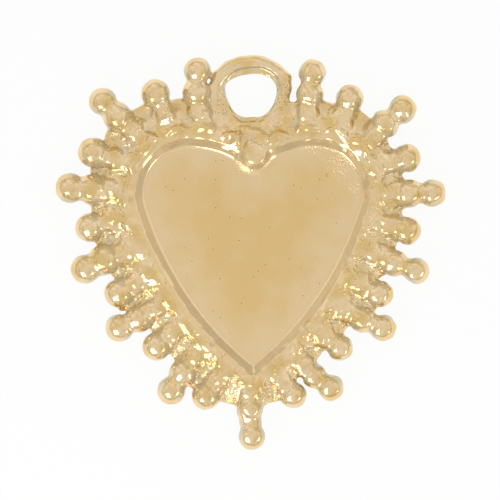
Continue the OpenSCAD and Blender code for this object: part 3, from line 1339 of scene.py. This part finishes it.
def emptied(owner: bpy.types.Material | bpy.types.World) -> bpy.types.NodeTree:
    """Takes a material's or world's nodes away, and gives its tree."""
    owner.use_nodes = True
    owner.node_tree.nodes.clear()
    return owner.node_tree


def add(tree: bpy.types.NodeTree, kind: str, inputs: dict | None = None,
        **settings: object) -> bpy.types.Node:
    """Adds a node with its settings and links.

    Args:
        tree: the node tree.
        kind: the node's type.
        inputs: a value or an output socket for each input.
        settings: the node's own properties.

    Returns:
        The node.
    """
    node = tree.nodes.new(kind)
    for key, value in settings.items():
        setattr(node, key, value)
    for socket, value in (inputs or {}).items():
        if isinstance(value, bpy.types.NodeSocket):
            tree.links.new(value, node.inputs[socket])
        else:
            node.inputs[socket].default_value = value
    return node


@dataclass(frozen=True)
class Gold:
    """Lost wax cast brass with gold plating, which follows the cast skin under it.

    The eye gets a warm metal whose reflections the orange peel bends, with a fine grain, glints on
    scuffs and between the beads, a few pits drawn only as dark dots of painted shade, and painted
    shade in creases and on steep walls, which get a greyer and less mirror-like colour. Pits are near
    0.1 mm in cells of pit_mm. The grain and the glints' grain are really finer, and are drawn as
    coarse as they need to be to show.
    """

    name: str
    colour: str
    deep_and_reflected_colour: str
    roughness: float
    peel_mm: float
    peel_depth_mm: float
    grain_mm: float
    grain_depth_mm: float
    sparkle_mm: float = 0.17
    sparkle_depth_mm: float = 0.12
    pit_mm: float = 0.18
    # Pits are drawn only as dark dots: painted shade in each pit
    pit_shade_colour: str = "#6B5433"
    pit_floor: float = 0.14
    pit_edge: float = 0.26
    # Painted shade in creases and on steep walls: a greyer colour and less metal
    crease_shade_colour: str = "#D4CCB0"
    crease_shade_metal: float = 0.45
    patch: float = 0.3
    dull_change: float = 0.25
    rubbed: float = 0.5

    def material(self) -> bpy.types.Material:
        """Builds the finish.

        Returns:
            The material.
        """
        finish = bpy.data.materials.new(self.name)
        tree = emptied(finish)
        place = add(tree, "ShaderNodeTexCoord").outputs["Object"]
        web, pits, depth, crease_shade_share = (
            add(tree, "ShaderNodeAttribute", attribute_name=layer).outputs["Fac"]
            for layer in ("grain", "pits", "tone", "hollow"))
        peel, grain, sparkle = (
            add(tree, "ShaderNodeTexNoise", {"Vector": place, "Scale": 1 / (size_mm * MM),
                                             "Detail": detail, "Roughness": rough}).outputs["Fac"]
            for size_mm, detail, rough in ((self.peel_mm, 2.0, 0.5), (self.grain_mm, 3.0, 0.6),
                                           (self.sparkle_mm, 2.0, 0.6)))
        glints = add(tree, "ShaderNodeMath", {0: sparkle, 1: web}, operation="MULTIPLY").outputs[0]
        relief = {}
        for height, deep_mm in ((peel, self.peel_depth_mm), (grain, self.grain_depth_mm),
                                (glints, self.sparkle_depth_mm)):
            bump = add(tree, "ShaderNodeBump", {"Height": height, "Strength": 1.0,
                                                "Distance": deep_mm * MM, **relief})
            relief = {"Normal": bump.outputs["Normal"]}
        # Pits: dark dots of painted shade, darkest in each cell's middle, with no relief
        cells = add(tree, "ShaderNodeTexVoronoi", {"Vector": place, "Scale": 1 / (self.pit_mm * MM),
                                                   "Randomness": 1.0})
        draw = add(tree, "ShaderNodeSeparateColor", {"Color": cells.outputs["Color"]}).outputs["Red"]
        chance = add(tree, "ShaderNodeMath", {0: draw, 1: pits}, operation="LESS_THAN")
        bowl = add(tree, "ShaderNodeMapRange", {
            "Value": cells.outputs["Distance"], "From Min": self.pit_floor,
            "From Max": self.pit_edge, "To Min": 1.0, "To Max": 0.0})
        pit_shade = add(tree, "ShaderNodeMath", {0: chance.outputs[0], 1: bowl.outputs["Result"]},
                  operation="MULTIPLY")
        # The tone deepens the colour in random patches and on the bank, and as painted reflection
        # towards the tray's middle
        patch = add(tree, "ShaderNodeMapRange", {
            "Value": peel, "From Min": NOISE_LOW, "From Max": NOISE_HIGH, "To Min": -self.patch,
            "To Max": self.patch})
        patchy = add(tree, "ShaderNodeMath", {0: depth, 1: patch.outputs["Result"]}, operation="ADD")
        colour = linear(self.colour)
        for share, other in ((patchy.outputs[0], self.deep_and_reflected_colour), (crease_shade_share, self.crease_shade_colour),
                             (pit_shade.outputs[0], self.pit_shade_colour)):
            colour = add(tree, "ShaderNodeMix", {0: share, 6: colour, 7: linear(other)},
                         data_type="RGBA").outputs[2]
        # Painted crease shade: the crease colour above, and less metal in creases and on steep walls
        metal = add(tree, "ShaderNodeMapRange", {"Value": crease_shade_share, "To Min": 1.0,
                                                 "To Max": self.crease_shade_metal})
        matt = add(tree, "ShaderNodeMapRange", {
            "Value": grain, "From Min": NOISE_LOW, "From Max": NOISE_HIGH,
            "To Min": self.roughness * (1 - self.dull_change),
            "To Max": self.roughness * (1 + self.dull_change)})
        worn = add(tree, "ShaderNodeMapRange", {"Value": web, "To Min": 1.0, "To Max": self.rubbed})
        dull = add(tree, "ShaderNodeMath", {0: matt.outputs["Result"], 1: worn.outputs["Result"]},
                   operation="MULTIPLY")
        shader = add(tree, "ShaderNodeBsdfPrincipled", {
            "Base Color": colour, "Metallic": metal.outputs["Result"],
            "Roughness": dull.outputs[0], **relief})
        add(tree, "ShaderNodeOutputMaterial", {"Surface": shader.outputs["BSDF"]})
        return finish


# Gold plating on brass that was tumbled until it shone: nearly a mirror, over a wide orange peel
POLISHED = Gold("polished_gold_plate", "#F5DAAD", "#E9C888", roughness=0.13, peel_mm=0.8,
                peel_depth_mm=0.02, grain_mm=0.25, grain_depth_mm=0.005, patch=0.15)
# The same plating on the skin that the mould left: satin, with a fine grain and broad pale patches. Its
# deep colour, towards the tray's middle, is painted reflection.
SATIN = Gold("satin_cast_gold", "#F0D5A6", "#EBC98B", roughness=0.33, peel_mm=1.8,
             peel_depth_mm=0.03, grain_mm=0.13, grain_depth_mm=0.012)


@dataclass
class Charm:
    """The charm: its parts, and the pieces that the casting is cut into."""

    plate: BackPlate = BackPlate()
    bezel: Bezel = Bezel()
    bank: Bank = Bank()
    granules: Granules = Granules()
    cleft: CleftGranule = CleftGranule()
    loop: Loop = Loop()
    casting: Casting = field(default_factory=Casting)

    def build(self) -> None:
        """Casts the charm and cuts it at its seams."""
        polished, satin = POLISHED.material(), SATIN.material()
        self.casting.cast([self.plate, self.bezel, self.bank, self.granules, self.loop, *RAYS],
                          [self.bezel.tray(), self.loop.clear()], [self.cleft])
        for odd in (1, 0):
            group = [ray for ray in RAYS if ray.number % 2 == odd]
            self.share_out(self.casting.cut([ray.cell() for ray in group]), group, polished)
        for part, node in ((self.loop, "hanging_loop"), (self.cleft, "cleft_granule"),
                           (self.bezel, "bezel_wall"), (self.granules, "wall_granules")):
            metal = opened(self.casting.cut([part.cell()]))
            to_piece(metal, node, polished, self.casting)
        to_piece(opened(self.casting.mesh), "back_plate", satin, self.casting)

    def share_out(self, metal: bpy.types.Mesh, rays: Sequence[Ray], finish: bpy.types.Material) -> None:
        """Gives each ray the bodies that lie on it.

        Args:
            metal: what was cut out of the casting.
            rays: the rays that it belongs to.
            finish: their material.
        """
        shares: dict[int, bmesh.types.BMesh] = {}
        for body in islands(metal):
            middle = sum((v.co for v in body.verts), Vector()) / len(body.verts)
            nearest = min(rays, key=lambda ray: min(
                (middle - centre).length for centre, _ in ray.rests()))
            if nearest.number not in shares:
                shares[nearest.number] = bmesh.new()
            pour(shares[nearest.number], body)
        for ray in rays:
            to_piece(shares[ray.number], ray.name, finish, self.casting)


@dataclass(frozen=True)
class SoftBox:
    """A square lamp close to the charm, in metres: its direction from it, distance and size."""

    name: str
    way: Place
    away: float
    size: float
    level: float

    def build(self, aim: Vector) -> None:
        """Hangs the lamp.

        Args:
            aim: the place that it faces.
        """
        data = bpy.data.lights.new(self.name, "AREA")
        data.shape = "SQUARE"
        data.size = self.size
        data.energy = self.level * math.pi * self.size ** 2
        lamp = in_scene(self.name, data)
        direction = Vector(self.way).normalized()
        lamp.location = aim + direction * self.away
        lamp.rotation_euler = direction.to_track_quat("Z", "Y").to_euler()


@dataclass(frozen=True)
class Studio:
    """A white table that the charm lies on, two soft boxes in a cloth tent and a camera above it.

    Lengths are in metres. The tent's walls are given from the camera's side (0) to the table's (1),
    each as a place and a level. Its folds fade in round the camera and out towards the table.
    """

    distance: float = 0.3
    sensor: float = 36.0
    clip_end: float = 10.0
    aim_z: float = -0.0118
    boxes: Sequence[SoftBox] = (SoftBox("box_left", (-0.45, -0.62, -0.64), 0.068, 0.036, 2.5),
                                SoftBox("box_right", (0.72, -0.42, -0.55), 0.085, 0.024, 1.6))
    table_r: float = 0.3
    table_sides: int = 96
    table_gap: float = 0.00002
    white_share: float = 0.93
    near_wall: float = 0.8
    walls: Sequence[Point] = ((0.1, 0.83), (0.24, 0.86), (0.285, 0.88), (0.305, 0.98), (0.33, 0.73),
                              (0.45, 0.69), (0.49, 0.82), (0.53, 1.0))
    warmth: Place = (0.0, 0.05, 0.13)
    folds: float = 2.2
    fold_depth: float = 0.25
    fold_levels: Point = (-1.0, 0.4)
    fold_noise: Point = (0.35, 0.65)
    folds_in: Point = (-0.97, -0.75)
    folds_out: Point = (-0.25, 0.05)

    def build(self) -> None:
        """Builds the table, the lamps, the tent and the camera."""
        self.table()
        for box in self.boxes:
            box.build(Vector((0.0, 0.0, self.aim_z)))
        self.tent()
        self.camera()

    def table(self) -> None:
        """A round white table top behind the charm's back, which doesn't hide it from behind."""
        bm = bmesh.new()
        turn = Matrix.Rotation(math.pi / 2, 4, "X")
        bmesh.ops.create_circle(bm, cap_ends=True, segments=self.table_sides, radius=self.table_r,
                                matrix=turn)
        bmesh.ops.translate(bm, verts=bm.verts, vec=Vector((
            0.0, CAD_BOX[1].y + self.table_gap, (CAD_BOX[0].z + CAD_BOX[1].z) / 2)))
        table = in_scene("table_top", closed_up(bm, "table_top"))
        white = bpy.data.materials.new("white_paper")
        tree = emptied(white)
        # Bright matt paper, which takes the charm's soft shadow, and looks white to the camera and
        # in the metal
        paper = add(tree, "ShaderNodeBsdfDiffuse", {"Color": linear("#F4F4F2")})
        glow = add(tree, "ShaderNodeEmission", {"Color": linear("#FFFFFF"), "Strength": 1.0})
        path = add(tree, "ShaderNodeLightPath")
        seen = add(tree, "ShaderNodeMath", {0: path.outputs["Is Camera Ray"],
                                            1: path.outputs["Is Glossy Ray"]}, operation="MAXIMUM")
        fade = add(tree, "ShaderNodeMath", {0: seen.outputs[0], 1: self.white_share},
                   operation="MULTIPLY")
        both = add(tree, "ShaderNodeMixShader", {0: fade.outputs[0], 1: paper.outputs[0],
                                                 2: glow.outputs[0]})
        behind = add(tree, "ShaderNodeNewGeometry").outputs["Backfacing"]
        clear = add(tree, "ShaderNodeBsdfTransparent")
        one_sided = add(tree, "ShaderNodeMixShader", {0: behind, 1: both.outputs[0],
                                                      2: clear.outputs[0]})
        add(tree, "ShaderNodeOutputMaterial", {"Surface": one_sided.outputs[0]})
        table.data.materials.append(white)

    def tent(self) -> None:
        """White for the camera, and a bright cloth tent with soft folds for the metal."""
        world = bpy.data.worlds.new("tent")
        bpy.context.scene.world = world
        tree = emptied(world)
        way = add(tree, "ShaderNodeTexCoord").outputs["Generated"]
        depth = add(tree, "ShaderNodeSeparateXYZ", {"Vector": way}).outputs["Y"]
        spread = add(tree, "ShaderNodeMapRange", {"Value": depth, "From Min": -1.0, "From Max": 1.0})
        walls = add(tree, "ShaderNodeValToRGB", {"Fac": spread.outputs["Result"]})
        ramp = walls.color_ramp
        near = self.near_wall
        ramp.elements[0].position, ramp.elements[0].color = 0.0, (near, near, near, 1.0)
        ramp.elements[1].position, ramp.elements[1].color = 1.0, (1.0, 1.0, 1.0, 1.0)
        for spot, level in self.walls:
            colour = [level - warm * (1.0 - level) for warm in self.warmth]
            ramp.elements.new(spot).color = (*colour, 1.0)
        noises = add(tree, "ShaderNodeTexNoise", {"Vector": way, "Scale": self.folds, "Detail": 1.0})
        fading = [add(tree, "ShaderNodeMapRange", {
            "Value": value, "From Min": start, "From Max": end, "To Min": first, "To Max": last})
            for value, (start, end), (first, last) in (
                (depth, self.folds_in, (0.0, self.fold_depth)), (depth, self.folds_out, (1.0, 0.0)),
                (noises.outputs["Fac"], self.fold_noise, self.fold_levels))]
        deep = add(tree, "ShaderNodeMath", {0: fading[0].outputs["Result"],
                                            1: fading[1].outputs["Result"]}, operation="MULTIPLY")
        shade = add(tree, "ShaderNodeMath", {0: fading[2].outputs["Result"], 1: deep.outputs[0],
                                             2: 1.0}, operation="MULTIPLY_ADD")
        cloth = add(tree, "ShaderNodeBackground", {"Color": walls.outputs["Color"],
                                                   "Strength": shade.outputs[0]})
        clear = add(tree, "ShaderNodeBackground", {"Color": linear("#FFFFFF"), "Strength": 1.0})
        path = add(tree, "ShaderNodeLightPath")
        both = add(tree, "ShaderNodeMixShader", {0: path.outputs["Is Camera Ray"],
                                                 1: cloth.outputs[0], 2: clear.outputs[0]})
        add(tree, "ShaderNodeOutputWorld", {"Surface": both.outputs[0]})

    def camera(self) -> None:
        """A long lens square to the front, framed as the photograph is."""
        middle_x, middle_z = in_frame(VIEW_PX / 2, VIEW_PX / 2)
        data = bpy.data.cameras.new("camera")
        data.sensor_width = self.sensor
        data.lens = self.sensor * self.distance / (VIEW_PX * PIXEL_MM * MM)
        data.clip_end = self.clip_end
        camera = in_scene("camera", data)
        camera.location = (middle_x * MM, -self.distance, middle_z * MM)
        camera.rotation_euler = (math.pi / 2, 0.0, 0.0)
        bpy.context.scene.camera = camera


def main() -> None:
    """Builds the charm and its studio."""
    logging.basicConfig(level=logging.INFO, format="%(message)s")
    bpy.context.scene.view_settings.view_transform = "Standard"
    Charm().build()
    Studio().build()


if __name__ == "__main__":
    main()
